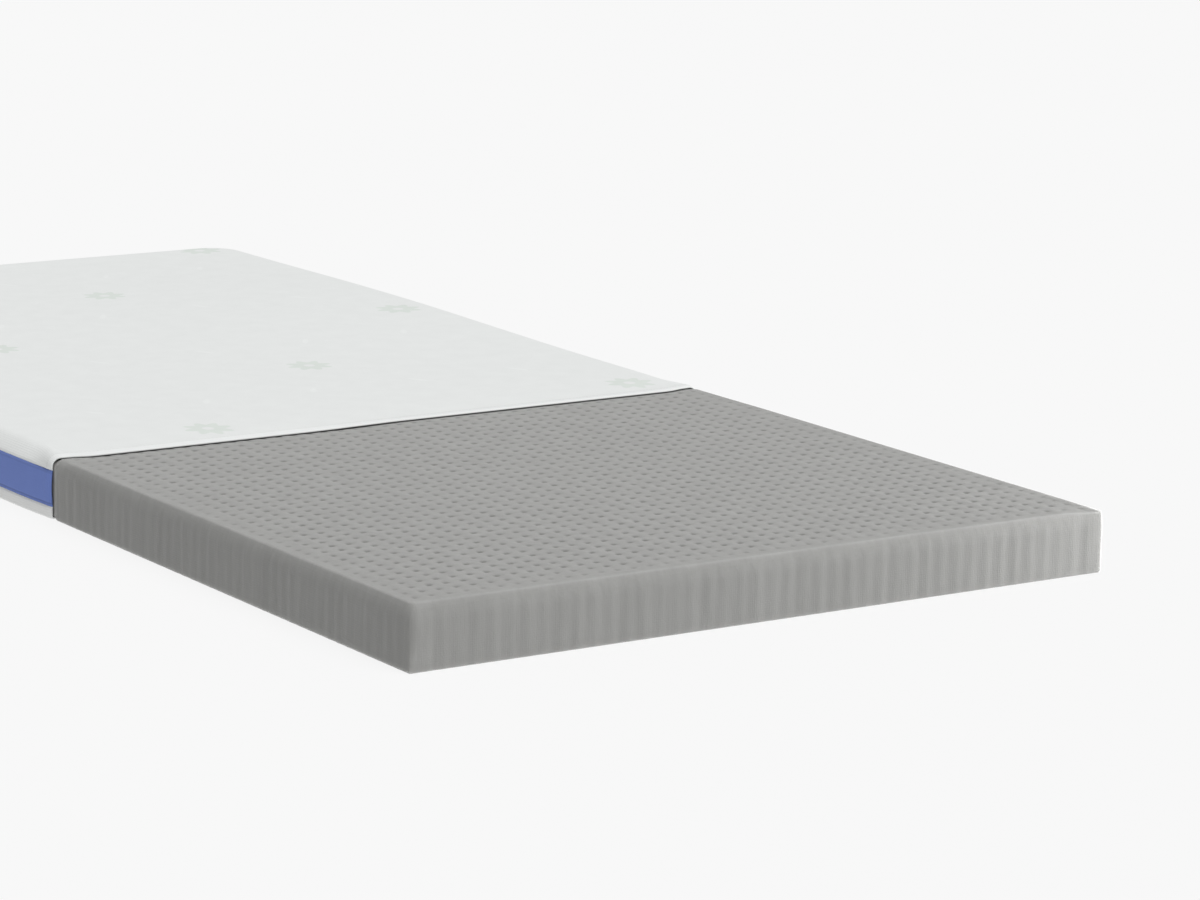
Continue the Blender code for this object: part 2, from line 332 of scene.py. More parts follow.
def finish_piece(piece, material, node_name):
    """Shade a piece smooth, give it its material and seat it in the frame."""
    piece.data.shade_smooth()
    piece.data.materials.clear()
    piece.data.materials.append(material)
    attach(piece, "root")
    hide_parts(node_name)


# -------------------------------------------------------------- the core

def core_edge(drop, y):
    """How far out the core's top edge has come at a drop: crisp and leaning where bare."""
    bare = turned(drop, BARE_EDGE, BARE_TURN, BARE_LEAN)
    return bare + (turned(drop, LIP_EDGE, 90, 1.0) - bare) * ease((y - LIP + EDGE_MIX) / EDGE_MIX)


def core_draw(y, cloth_face, clearance, swell):
    """How far a face of the core lies inside the bare core's face.

    cloth_face is how far the cover's inner face lies inside it at the lip, clearance is the
    gap between them there, and swell is how far the cover fills out.
    """
    dip = (cloth_face + clearance) * ease((y - LIP + DIP_RUN) / DIP_RUN)
    mouth = 1.0 - ease((y - LIP) / MOUTH_DEPTH)
    covered = cloth_face + GAP + (clearance - GAP) * mouth - swell * filled(y)
    return np.where(y < LIP, dip, covered)


def edge_lines(near, rim, last):
    """Distance in from a wall of the mesh lines before the first pit, the last of them at last."""
    zone = np.maximum(CORE_CORNER, rim + RIM_MARGIN)
    beyond = (near - CORNER_LINES) / (EDGE_CELL_LINES - 1 - CORNER_LINES)
    return np.where(near <= CORNER_LINES, rim + (zone - rim) * near / CORNER_LINES,
                    zone + (last - zone) * beyond)


def core_side_insets(near, rim):
    """Distance in from the side wall of the mesh line that is the near-th from it."""
    cells, line = np.divmod(np.maximum(near - EDGE_CELL_LINES, 0), len(CELL_LINES))
    return np.where(near < EDGE_CELL_LINES, edge_lines(near, rim, CELL_LINES[-1] * CELL),
                    (1 + cells + CELL_LINES[line]) * CELL)


def core_rows():
    """Places along the topper of the core's mesh rows, from the bare end to the back."""
    last = FIRST_CELL - (1 - CELL_LINES[-1]) * CELL_LENGTH
    rows = list(FRONT + edge_lines(np.arange(EDGE_CELL_LINES), core_edge(EDGE_DROPS[-1], FRONT), last))
    for cell in range(PIT_ROWS - 1):
        rows += list(FRONT + FIRST_CELL + (cell + CELL_LINES) * CELL_LENGTH)
    rows += list(FRONT + FIRST_CELL + (PIT_ROWS - 1 + CELL_LINES[:3]) * CELL_LENGTH)
    # Closer together at the lip, where the core is drawn in, and far apart in the cover
    before_lip = (0.0135, DIP_RUN, 0.009, 0.006, 0.003)
    behind_lip = (0.0, 0.002, 0.005, 0.011, 0.019, 0.028, 0.040, 0.060, 0.080, 0.120)
    rows += [LIP - d for d in before_lip] + [LIP + d for d in behind_lip]
    rows += list(np.arange(rows[-1] + 0.1, REAR - PLAN_CORNER - 0.02, 0.1))
    rows += list(REAR - np.linspace(PLAN_CORNER, LIP_EDGE, 9))
    return np.array(rows)


def groove(share):
    """Depth, from 0 to 1, of the groove halfway between two cells' middles."""
    return (1.0 - np.cos(2 * np.pi * share)) / 2


def at_nodes(values, u, v):
    """Values that belong to the cells' corners, read between them."""
    u = np.clip(u, 0.0, values.shape[0] - 1.001)
    v = np.clip(v, 0.0, values.shape[1] - 1.001)
    i, j = u.astype(int), v.astype(int)
    u, v = u - i, v - j
    low = values[i, j] * (1 - u) + values[i + 1, j] * u
    high = values[i, j + 1] * (1 - u) + values[i + 1, j + 1] * u
    return low * (1 - v) + high * v


def close_underside(piece, level, row, last_level, flat_until, lip_row, last_row):
    """Close the core's underside: one face where it is bare, strips where it climbs into
    the cover, and one face inside it."""
    bottom = level == last_level
    spans = [(0, flat_until)]
    spans += [(r, r + 1) for r in range(flat_until, lip_row)]
    spans += [(lip_row, last_row)]
    for low, high in spans:
        chosen = np.zeros(len(piece.data.vertices), bool)
        chosen[:len(bottom)] = bottom & (row >= low) & (row <= high)
        edit(piece, "vertices", chosen)
        bpy.ops.mesh.edge_face_add()
        bpy.ops.object.mode_set(mode="OBJECT")


def pits(u, v, column_of, row_of, strength):
    """Depth, from 0 to about 1, of the pits at the cells' middles."""
    away = np.hypot((u - np.rint(u)) * CELL, (v - np.rint(v)) * CELL_LENGTH)
    rows_in = np.minimum(np.minimum(column_of, CELLS_ACROSS - column_of), row_of)
    by_wall = np.array(PIT_BY_WALL)[np.clip(rows_in, 0, len(PIT_BY_WALL) - 1)]
    pit = np.exp(-(away / PIT_RADIUS) ** 2)
    return pit * at_nodes(strength, u, v) * by_wall * (row_of <= PIT_ROWS)


def pressed_down(x, y, y0, out):
    """How far the tight cover presses down a point of the core that has come this far out."""
    from_wall = PLAN_CORNER - np.hypot(np.maximum(PLAN_CORNER - HALF_WIDTH + np.abs(x), 0.0),
                                       np.maximum(PLAN_CORNER - REAR + y, 0.0))
    from_wall = np.where(from_wall < PLAN_CORNER, from_wall, EDGE_RIM)
    return covered_drop(EDGE_RIM - from_wall + out) * ease((y0 - LIP) / (EDGE_MIX / 2))


def stand_up(points, leaning, y0):
    """Take lean from the top's edge: a little along the right side, and most of it by the
    right corner of the bare end. leaning is how far it leans in there."""
    lean = core_edge(EDGE_DROPS[-1], FRONT)
    by_side = 1 - ease((HALF_WIDTH - lean - points[:, 0]) / STAND_RUN)
    by_front = 1 - ease((points[:, 1] - FRONT - lean) / STAND_RUN)
    start, end = STAND_END
    lack = RIGHT_LACK * (1 - between(y0, LIP - start, LIP - end)) + (1 - RIGHT_LACK) * by_front
    points[:, 0] += leaning * by_side * lack
    points[:, 1] -= FRONT_LACK * leaning * by_side * by_front
    points[:, 2] -= CORNER_SINK * by_side * by_front * points[:, 2] / CORE_HEIGHT


def make_core(material):
    """The slab of upright cells: a rib for each on the walls, and a pit in each one's top."""
    rows = core_rows()
    columns = 2 * EDGE_CELL_LINES + (CELLS_ACROSS - 2) * len(CELL_LINES)
    levels = SHOULDER_STEPS + WALL_STEPS + FOOT_STEPS
    piece = blank("core_cells", columns, len(rows) - 1)
    pull_walls(piece, columns, len(rows) - 1, levels, all_round=True)
    column, row, level = lattice_place(piece)

    y0 = rows[row]
    side = np.where(column * 2 < columns, -1.0, 1.0)
    near = np.minimum(column, columns - column)
    rim = core_edge(EDGE_DROPS[-1], y0)
    inset = core_side_insets(near, rim)
    x, y, out_x, out_y = lay_out(side, inset, y0, rim, True)

    # Lattice coordinates, with the cells' middles at whole numbers, and their unevenness
    u, v = (x + HALF_WIDTH) / CELL, (y - FRONT - FIRST_CELL) / CELL_LENGTH + 1
    nodes = (CELLS_ACROSS + 1, PIT_ROWS + 3)
    drift = rng.uniform(-NODE_DRIFT, NODE_DRIFT, (2, *nodes))
    strength = rng.uniform(*PIT_SPREAD, nodes)
    cell_tone = rng.uniform(-1.0, 1.0, nodes)
    cell_rise = rng.uniform(*DOME_SPREAD, nodes)
    wall_crest = rng.uniform(0.0, RIB_CREST, (2, max(nodes)))
    column_of = np.clip(np.rint(u).astype(int), 0, nodes[0] - 1)
    row_of = np.clip(np.rint(v).astype(int), 0, nodes[1] - 1)

    # 1 on the bare core and 0 in the cover
    bare = 1.0 - ease((y0 - LIP + 0.002) / 0.010)
    is_rim = (near == 0) | (row == 0) | (row == len(rows) - 1)
    inner = ~is_rim
    draw = core_draw(y0, CLOTH, SIDE_CLEARANCE, SIDE_SWELL)

    # Round the walls: how far along a rib, and the groove there
    on_side = np.abs(out_x) > np.abs(out_y)
    along = np.where(on_side, v, u)
    from_corner = np.where(on_side, v + 1, np.minimum(u, CELLS_ACROSS - u))
    at_end = np.where(on_side, LIP - DIP_RUN - y0, 1.0)
    ribbed = ease((from_corner - 1.0) / 0.3) * ease(at_end / 0.004) * (y0 < LIP)
    rib = np.where(on_side, row_of, column_of)
    wall_groove = groove(along) * ribbed * at_nodes(strength, u, v)
    crest = wall_crest[on_side.astype(int), rib] * ribbed * (1 - groove(along))

    # Height and inset of each level, from the top's edge to the floor
    clearance = left_to_right(HEM_DROOP, x) + left_to_right(HEM_GAP, x)
    top = CORE_HEIGHT - core_draw(y0 + lip_reach(x, y0), 0.0, clearance, top_swell(x, y0))
    under = UNDERLAY * ease((y0 - LIP + DIP_RUN) / (DIP_RUN * 0.92))
    drop = EDGE_DROPS[np.minimum(level, SHOULDER_STEPS)]
    fall = np.clip((level - SHOULDER_STEPS) / WALL_STEPS, 0.0, 1.0)
    tuck = np.clip((level - SHOULDER_STEPS - WALL_STEPS) / FOOT_STEPS, 0.0, 1.0) * math.pi / 2
    pressed = pressed_down(x, y, y0, np.where(is_rim, core_edge(drop, y0), 0.0))
    shoulder_z = top - np.maximum(drop, pressed)
    z = shoulder_z + (under + CORE_FOOT - shoulder_z) * fall - CORE_FOOT * np.sin(tuck)

    # The ribs run out towards the top's edge, and a little at the floor
    low_on_wall = ease(drop / EDGE_DROPS[-1]) * (1 - 0.6 * np.sin(tuck))
    depth = (RIB_DEPTH * wall_groove + crest) * low_on_wall
    outward = core_edge(drop, y0) - CORE_FOOT * (1 - np.cos(tuck)) - draw - depth

    # The top's relief
    pit = pits(u, v, column_of, row_of, strength)
    crown = groove(u) * groove(v) * cell_rise[column_of, row_of]
    relief = bare * ease((np.minimum(inset, y0 - FRONT) - RELIEF_FROM_WALL) / RELIEF_RUN)
    top_z = top - pressed + (DOME * (crown - 0.5) - PIT_DEPTH * pit) * relief

    # Inside the rim the lattice strays a little, and follows the sides in at the lip
    shift = draw * (1 - ease((inset - rim) / PLAN_CORNER))
    inner_x = x - side * shift + at_nodes(drift[0], u, v) * relief
    inner_y = y + at_nodes(drift[1], u, v) * relief
    # The left corner of the bare end gets sharper down to the floor, and the right one is sharp
    leaning = core_edge(EDGE_DROPS[-1], FRONT) - np.where(inner, 0.0, core_edge(drop, y0))
    sharper = np.where(side > 0, CORE_CORNER - RIGHT_CORNER - leaning,
                       (CORE_CORNER - CORNER_AT_FLOOR) * (1 - ease(z / SHARPENS_AT)))
    sharper = sharper * ((near <= CORNER_LINES) & (row <= CORNER_LINES))
    rim_x = x + out_x * outward + side * sharper * (1 - np.abs(out_x))
    rim_y = y + out_y * outward - sharper * (1 - np.abs(out_y))
    points = np.stack((np.where(inner, inner_x, rim_x), np.where(inner, inner_y, rim_y),
                       np.where(inner, top_z, z)), axis=1)
    stand_up(points, leaning, y0)
    move_to(piece, points)

    lip_row = int(np.argmin(np.abs(rows - LIP)))
    flat_until = int(np.searchsorted(rows, LIP - DIP_RUN)) - 1
    close_underside(piece, level, row, levels, flat_until, lip_row, len(rows) - 1)

    # Painted shade at each point: in the pits, in the walls' grooves, and down the two long walls
    wall_shade = (GROOVE_SHADE * wall_groove * low_on_wall
                  + SIDE_SHADE * on_side * between(drop, 0.004, 0.018))
    mark(piece, "painted_shade", np.where(inner, pit * relief, wall_shade))
    mark(piece, "tone", np.where(inner, cell_tone[column_of, row_of],
                                 cell_tone[rib % nodes[0], on_side.astype(int)]))
    finish_piece(piece, material, "core")
    return piece


# ------------------------------------------------------------- the cover

def hem(y):
    """How far the turned edge at the lip stands out of the cloth's face."""
    behind = y - LIP
    return HEM_RISE * ease(behind / HEM_EDGE) * (1.0 - ease((behind - HEM_DEPTH) / HEM_EDGE))


def hem_droop(x, y, height):
    """How far the hem of the top sags."""
    share = np.clip((height - HIGH_SEAM) / (CORE_HEIGHT + CLOTH - HIGH_SEAM), 0.0, 1.0)
    return left_to_right(HEM_DROOP, x) * share * (1.0 - ease((y - LIP) / HEM_DROOP_RUN))


def cover_inset(height, y):
    """How far the cover's outer face lies inside its outline, before the seams draw it in."""
    share = np.clip((height - LOW_SEAM) / (HIGH_SEAM - LOW_SEAM), 0.0, 1.0)
    low = np.maximum(FOOT - height, 0.0)
    return (SHOULDER - covered_edge(CORE_HEIGHT + CLOTH - height, y, CLOTH)
            + FOOT - np.sqrt(np.maximum(FOOT ** 2 - low ** 2, 0.0))
            - BAND_BULGE * np.sin(np.pi * share))


def from_seam(height):
    """Distance up or down to the nearer seam."""
    return np.minimum(np.abs(height - LOW_SEAM), np.abs(height - HIGH_SEAM))


def seam_pinch(height):
    """How far the nearer seam draws the cloth's outer face in, and the stitches above the
    lower seam do."""
    stitches = np.exp(-((height - LOW_SEAM - STITCHES_UP) / STITCHES_WIDTH) ** 2)
    return SEAM_PINCH * (1.0 - ease(from_seam(height) / SEAM_RUN)) ** 1.5 + STITCHES_DEPTH * stitches


def pucker(x, y, height):
    """Small waves that run out from the nearer seam."""
    run = (x + y) / PUCKER_PITCH + 0.35 * np.sin(7.3 * (x - y)) + 0.2 * np.sin(23.0 * (x + y))
    return PUCKER * np.sin(2 * np.pi * run) * np.exp(-from_seam(height) / PUCKER_REACH)


def slack(x, y):
    """Slow waves in the flat of the cloth, which only stand out of it."""
    waves = (np.sin(13.1 * x + 4.7 * y + 0.4) + np.sin(-7.9 * x + 11.3 * y + 2.1)
             + np.sin(21.7 * x + 9.1 * y + 1.3) + np.sin(5.3 * x - 25.9 * y + 3.0))
    return SLACK * (0.5 + waves / 8)


def set_flat_cut(piece, across, along):
    """Lay the cut cloth's own metres on the piece as its UV map."""
    corners = np.empty(len(piece.data.loops), int)
    piece.data.loops.foreach_get("vertex_index", corners)
    flat = np.stack((across, along), axis=1)[corners]
    piece.data.uv_layers[0].data.foreach_set("uv", flat.astype(np.float32).ravel())


def thicken(piece):
    """Give the cloth its thickness inward. Its outer points keep their numbers."""
    bpy.context.view_layer.objects.active = piece
    solid = piece.modifiers.new("thickness", "SOLIDIFY")
    solid.thickness = CLOTH
    solid.offset = -1.0
    solid.use_even_offset = True
    bpy.ops.object.modifier_apply(modifier=solid.name)


def round_lip(piece, at_lip):
    """Round the hem's two edges at the lip. at_lip marks the cloth's outer points there."""
    outer = len(at_lip)
    ends = edge_ends(piece.data)
    one_face = (ends < outer).all(axis=1) | (ends >= outer).all(axis=1)
    edit(piece, "edges", at_lip[ends % outer].all(axis=1) & one_face)
    bpy.ops.mesh.bevel(offset=LIP_ROUND, segments=3, affect="EDGES")
    bpy.ops.object.mode_set(mode="OBJECT")


def seam_levels(flat, seam, drops):
    """Heights of a panel's rim: its flat, its edge at these drops from it, and its seam."""
    toward = 1.0 if seam > flat else -1.0
    run = [seam - toward * SEAM_RUN * s for s in (1.0, 0.7, 0.45, 0.25, 0.1, 0.0)]
    return np.array([flat] + [flat + toward * d for d in drops] + run)


def hem_steps():
    """Distances behind the lip of the mesh lines in the hem."""
    near = [0.0, 0.001, 0.002, 0.003, 0.004, 0.0065, 0.009, 0.011, 0.0125, 0.0135, 0.015]
    return near + [0.019, 0.025, 0.032, 0.040]


def panel_lines(rim, step):
    """Side insets of a panel's columns up to its middle, and its rows along the topper."""
    corner = list(np.linspace(rim, PLAN_CORNER, 9))
    count = math.ceil((HALF_WIDTH - PLAN_CORNER) / step)
    across = corner + list(np.linspace(PLAN_CORNER, HALF_WIDTH, count + 1)[1:])
    near = [LIP + d for d in hem_steps()]
    count = math.ceil((REAR - PLAN_CORNER - near[-1]) / step)
    rows = near + list(np.linspace(near[-1], REAR - PLAN_CORNER, count + 1)[1:])
    return np.array(across), np.array(rows + list(REAR - np.array(corner[::-1])[1:]))


def make_panel(name, node_name, material, flat, seam, radius, drops, step):
    """A flat panel whose three sides turn over an edge of the core to a seam."""
    insets, rows = panel_lines(radius, step)
    columns = 2 * (len(insets) - 1)
    heights = seam_levels(flat, seam, drops)
    upward = seam > flat
    piece = blank(name, columns, len(rows) - 1)
    pull_walls(piece, columns, len(rows) - 1, len(heights) - 1, all_round=False, upward=upward)
    column, row, level = lattice_place(piece)

    y0 = rows[row]
    side = np.sign(column * 2 - columns).astype(float)
    inset = insets[np.minimum(column, columns - column)]
    flat_x, flat_y, out_x, out_y = lay_out(side, inset, y0, radius, False)
    height = heights[level]
    swell = SIDE_SWELL * filled(y0)
    lift = top_swell(flat_x, y0) * filled(y0) * ease(height / CORE_HEIGHT)
    is_rim = (column == 0) | (column == columns) | (row == len(rows) - 1)
    outward = np.where(is_rim, radius - cover_inset(height, y0) + swell, 0.0)
    shift = np.where(is_rim, 0.0, swell * (1 - ease((inset - radius) / PLAN_CORNER)))
    x, y = flat_x + out_x * outward + side * shift, flat_y + out_y * outward
    # Only the cloth on top of the core waves, droops and bows forward
    on_top = 0.0 if upward else 1.0
    waving = on_top * (1 - ease((LIP + 0.02 - y0) / 0.02)) * ease(height / CORE_HEIGHT)
    z = height + lift + slack(x, y) * waving - hem_droop(x, y0, height) * on_top
    y = y - lip_reach(x, y0) * on_top
    move_to(piece, np.stack((x, y, z), axis=1))

    # The cut cloth: beyond the flat's edge it goes on by the length of the turn
    steps = np.hypot(np.diff(heights), np.diff(cover_inset(heights, REAR)))
    beyond = np.concatenate(([0.0], np.cumsum(steps)))[level]
    set_flat_cut(piece, flat_x + out_x * beyond, flat_y + out_y * beyond)

    # The outer face alone has the hem's rise, the seams' pinch and the puckers
    thicken(piece)
    points = coordinates(piece.data)
    outer = len(x)
    edge = hem(y0) - np.where(level > 0, seam_pinch(height), 0.0)
    edge = edge + np.where(is_rim, pucker(x, y, height), 0.0) * filled(y0)
    tilt = np.where(is_rim, np.clip(cover_inset(height, y0) / (LIP_EDGE + CLOTH), 0.0, 1.0), 1.0)
    outward = np.where(is_rim, edge * (1 - tilt), 0.0)
    points[:outer, 0] += out_x * outward
    points[:outer, 1] += out_y * outward
    points[:outer, 2] += on_top * np.maximum(edge, 0.0) * tilt
    move_to(piece, points)
    round_lip(piece, row == 0)

    finish_piece(piece, material, node_name)
    return piece


def round_the_cover(distance):
    """Plan point of the cover's outline, and the way out there, from its right lip round
    the back to its left lip; and the outline's whole length."""
    straight = REAR - PLAN_CORNER - LIP
    turn = PLAN_CORNER * math.pi / 2
    whole = 2 * (straight + turn + HALF_WIDTH - PLAN_CORNER)
    side = np.where(distance * 2 <= whole, 1.0, -1.0)
    run = np.minimum(distance, whole - distance)
    angle = np.clip((run - straight) / PLAN_CORNER, 0.0, math.pi / 2)
    out_x, out_y = np.cos(angle), np.sin(angle)
    x = HALF_WIDTH - PLAN_CORNER + PLAN_CORNER * out_x - np.maximum(run - straight - turn, 0.0)
    y = LIP + np.minimum(run, straight) + PLAN_CORNER * out_y
    return side * x, y, side * out_x, out_y, whole


def make_side_band(material):
    """The upright border round three sides, open at the lip."""
    whole = round_the_cover(np.zeros(1))[-1]
    near = np.array(hem_steps())
    count = math.ceil((whole - 2 * near[-1]) / (CLOTH_STEP * 0.8))
    stops = np.concatenate((near, np.linspace(near[-1], whole - near[-1], count + 1)[1:-1],
                            whole - near[::-1]))
    low, high = LOW_SEAM + GAP / 2, HIGH_SEAM - GAP / 2
    rise = np.array([SEAM_RUN * s for s in (0.0, 0.1, 0.25, 0.45, 0.7, 1.0)])
    heights = np.concatenate((low + rise, low + np.array((0.0045, 0.0055, 0.0065)),
                              np.linspace(low + 0.0085, high - SEAM_RUN, 6)[:-1], high - rise[::-1]))
    piece = blank("side_band", len(stops) - 1, len(heights) - 1)
    column, row, _ = lattice_place(piece)
    distance, height = stops[column], heights[row]
    x, y, out_x, out_y, _ = round_the_cover(distance)
    out = SIDE_SWELL * filled(y) - cover_inset(height, y)
    z = height + top_swell(x, y) * filled(y) * ease(height / CORE_HEIGHT)
    move_to(piece, np.stack((x + out_x * out, y + out_y * out, z), axis=1))
    set_flat_cut(piece, distance, height)

    thicken(piece)
    points = coordinates(piece.data)
    outer = len(x)
    edge = hem(y) - seam_pinch(height) + pucker(x, y, height) * filled(y)
    points[:outer, 0] += out_x * edge
    points[:outer, 1] += out_y * edge
    move_to(piece, points)
    round_lip(piece, (column == 0) | (column == len(stops) - 1))

    finish_piece(piece, material, "cover_side_band")
    return piece


# -------------------------------------------------------------- materials

def linear(colour):
    """The linear colour of an sRGB hex value."""
    parts = [int(colour[k:k + 2], 16) / 255 for k in (1, 3, 5)]
    return (*(p / 12.92 if p <= 0.04045 else ((p + 0.055) / 1.055) ** 2.4 for p in parts), 1.0)


def new_material(name):
    """A material with a Principled shader."""
    material = bpy.data.materials.new(name)
    material.use_nodes = True
    return material


def feed(material, node, inputs):
    """Give each of a node's sockets a value or another node's output."""
    for socket, value in inputs.items():
        if isinstance(value, bpy.types.NodeSocket):
            material.node_tree.links.new(value, node.inputs[socket])
        else:
            node.inputs[socket].default_value = value


def add(material, kind, inputs=None, **settings):
    """Add a node with its settings and what its sockets get."""
    node = material.node_tree.nodes.new("ShaderNode" + kind)
    for name, value in settings.items():
        setattr(node, name, value)
    feed(material, node, inputs or {})
    return node.outputs


def set_shader(material, inputs):
    """Give the sockets of a material's Principled shader their values and links."""
    feed(material, material.node_tree.nodes["Principled BSDF"], inputs)


def grey_spunbond():
    """Spunbond nonwoven round the cells: pressed fibres and matt, with painted shade in its pits and
    grooves and down its long walls.
    """
    material = new_material("grey_spunbond_nonwoven")
    place = add(material, "TexCoord")["Object"]
    painted_shade = add(material, "Attribute", attribute_name="painted_shade")["Fac"]
    tone = add(material, "Attribute", attribute_name="tone")["Fac"]
    # Felted fibres lie in streaks a few millimetres wide, longest up the walls
    streak_place = add(material, "Mapping", {"Vector": place, "Scale": (1.0, 1.0, 0.12)})[0]
    streaks = add(material, "TexNoise", {"Vector": streak_place, "Scale": 1 / 0.006,
                                         "Detail": 3.0, "Roughness": 0.6})["Fac"]
    # Bonding dots are 1 mm wide, and are drawn at 2.5 mm so that they show
    dots = add(material, "TexVoronoi", {"Vector": place, "Scale": 1 / 0.0025,
                                        "Randomness": 0.35})["Distance"]
    toned = add(material, "Math", {0: tone, 1: 0.022, 2: 1.0}, operation="MULTIPLY_ADD")[0]
    streaked = add(material, "MapRange", {"Value": streaks, "From Min": 0.25, "From Max": 0.75,
                                          "To Min": 0.96, "To Max": 1.04})[0]
    shade = add(material, "Math", {0: toned, 1: streaked}, operation="MULTIPLY")[0]
    # Painted shade: the pits, the walls' grooves and the long walls go darker towards the dark grey
    depth = add(material, "Math", {0: painted_shade, 1: 0.50}, operation="MULTIPLY", use_clamp=True)[0]
    face = add(material, "Mix", {"Factor": depth, "A": linear("#959593"), "B": linear("#3E3E3D")},
               data_type="RGBA")["Result"]
    colour = add(material, "VectorMath", {0: face, "Scale": shade}, operation="SCALE")[0]
    fibre_bump = add(material, "Bump", {"Height": streaks, "Distance": 0.0006, "Strength": 0.5})[0]
    bump = add(material, "Bump", {"Height": dots, "Distance": 0.0003, "Strength": 0.5,
                                  "Normal": fibre_bump}, invert=True)[0]
    # Light goes some way into the open fibres, and comes out round their edges
    set_shader(material, {"Base Color": colour, "Normal": bump, "Roughness": 0.88, "IOR": 1.5,
                          "Specular IOR Level": 0.25, "Subsurface Weight": 1.0,
                          "Subsurface Radius": (1.0, 1.0, 1.0), "Subsurface Scale": 0.015})
    return material


FIGURE_WIDTH, FIGURE_LENGTH = 0.30, 0.56        # the figure's repeat
FIGURE_START = (0.233, 0.294)                   # and its place, as shares of the repeat


def woven_figure(calc, across, along):
    """Where a rosette shows, and where a leaf does, in a plain half-drop repeat."""
    columns = calc("MULTIPLY_ADD", across, 1 / FIGURE_WIDTH, FIGURE_START[0])
    half_drop = calc("MULTIPLY", calc("PINGPONG", calc("FLOOR", columns), 1.0), 0.5)
    rows = calc("ADD", calc("MULTIPLY_ADD", along, 1 / FIGURE_LENGTH, FIGURE_START[1]), half_drop)
    a = calc("MULTIPLY_ADD", calc("FRACT", columns), FIGURE_WIDTH, -FIGURE_WIDTH / 2)
    b = calc("MULTIPLY_ADD", calc("FRACT", rows), FIGURE_LENGTH, -FIGURE_LENGTH / 2)

    def length(one, other):
        return calc("SQRT", calc("ADD", calc("MULTIPLY", one, one), calc("MULTIPLY", other, other)))

    # Eight petals about a plain eye, 60 mm over all
    petals = calc("COSINE", calc("MULTIPLY", calc("ARCTAN2", b, a), 8.0))
    reach = calc("SUBTRACT", calc("MULTIPLY_ADD", petals, 0.005, 0.025), length(a, b))
    rosette = calc("MULTIPLY_ADD", reach, 1 / 0.003, 0.5, clamp=True)
    eye = calc("MULTIPLY_ADD", length(a, b), 1 / 0.002, -3.0, clamp=True)
    # Four leaves, 28 mm long, halfway to the next rosettes
    a = calc("SUBTRACT", calc("ABSOLUTE", a), FIGURE_WIDTH / 4)
    b = calc("SUBTRACT", calc("ABSOLUTE", b), FIGURE_LENGTH / 4)
    lengthways = calc("MULTIPLY_ADD", a, 0.5 / 0.014, calc("MULTIPLY", b, 0.866 / 0.014))
    sideways = calc("MULTIPLY_ADD", a, -0.866 / 0.004, calc("MULTIPLY", b, 0.5 / 0.004))
    leaf = calc("MULTIPLY_ADD", length(lengthways, sideways), -3.0, 3.5, clamp=True)
    return calc("MULTIPLY", rosette, eye), leaf


def knit(name, face, shadow, figured=False, lines=()):
    """Polyester stretch knit: rows of loops, soft and matt, with a faint bloom of fibre ends.

    A line in lines is a band of painted shade along a seam: its place up the flat
    cloth, the share of light left there, and how far it reaches.
    """
    material = new_material(name)

    def calc(operation, *values, clamp=False):
        return add(material, "Math", dict(enumerate(values)), operation=operation, use_clamp=clamp)[0]

    flat = add(material, "UVMap")["UV"]
    parts = add(material, "SeparateXYZ", {0: flat})
    # Loops are 1.4 mm wide, and are drawn at 3 mm so that they show
    leg = calc("PINGPONG", calc("MULTIPLY", parts["X"], 1 / 0.003), 0.5)
    course = calc("MULTIPLY", parts["Y"], 1 / 0.0026)
    turn = calc("MULTIPLY", calc("MULTIPLY_ADD", leg, 1.1, course), 2 * math.pi)
    loop = calc("MULTIPLY_ADD", calc("SINE", turn), 0.5, 0.5)
    yarn = calc("MULTIPLY_ADD", loop, 0.5, calc("MULTIPLY", leg, 2.0))
    mottle = add(material, "TexNoise", {"Vector": flat, "Scale": 1 / 0.03, "Detail": 4.0})["Fac"]
    light = add(material, "MapRange", {"Value": mottle, "From Min": 0.3, "From Max": 0.7,
                                       "To Min": 0.985, "To Max": 1.01})[0]
    # Each line darkens the cloth along a seam with painted shade
    for place, share, reach in lines:
        away = calc("ABSOLUTE", calc("SUBTRACT", parts["Y"], place))
        line = add(material, "MapRange", {"Value": away, "From Max": reach, "To Min": share},
                   interpolation_type="SMOOTHSTEP")[0]
        light = calc("MULTIPLY", light, line)
    # Painted shade in the hollows between the loops, towards the shadow colour
    depth = calc("MULTIPLY_ADD", yarn, -0.25, 0.25, clamp=True)
    colour = add(material, "Mix", {"Factor": depth, "A": linear(face), "B": linear(shadow)},
                 data_type="RGBA")["Result"]
    if figured:
        # The figure is woven in a yarn of nearly the same white
        rosette, leaf = woven_figure(calc, parts["X"], parts["Y"])
        colour = add(material, "Mix", {"Factor": rosette, "A": colour, "B": linear("#DBE1DC")},
                     data_type="RGBA")["Result"]
        light = calc("MULTIPLY", light, calc("MULTIPLY_ADD", leaf, 0.03, 1.0))
        # The turned edge at the lip is double, and stitched 9 mm behind it
        behind = calc("SUBTRACT", parts["Y"], LIP)
        double = calc("MULTIPLY_ADD", behind, 1 / 0.002, -5.25, clamp=True)
        stitched = calc("LESS_THAN", calc("ABSOLUTE", calc("SUBTRACT", behind, 0.009)), 0.0006)
        threads = calc("LESS_THAN", calc("PINGPONG", parts["X"], 0.0025), 0.0017)
        stitched = calc("MULTIPLY", stitched, threads)
        shade = calc("MULTIPLY_ADD", double, 0.04, calc("MULTIPLY_ADD", stitched, -0.10, 0.96))
        light = calc("MULTIPLY", light, shade)
    colour = add(material, "VectorMath", {0: colour, "Scale": light}, operation="SCALE")[0]
    bump = add(material, "Bump", {"Height": yarn, "Distance": 0.00035, "Strength": 0.5})[0]
    set_shader(material, {"Base Color": colour, "Normal": bump, "Roughness": 0.9, "IOR": 1.5,
                          "Specular IOR Level": 0.2, "Sheen Weight": 0.05, "Sheen Roughness": 0.6})
    return material


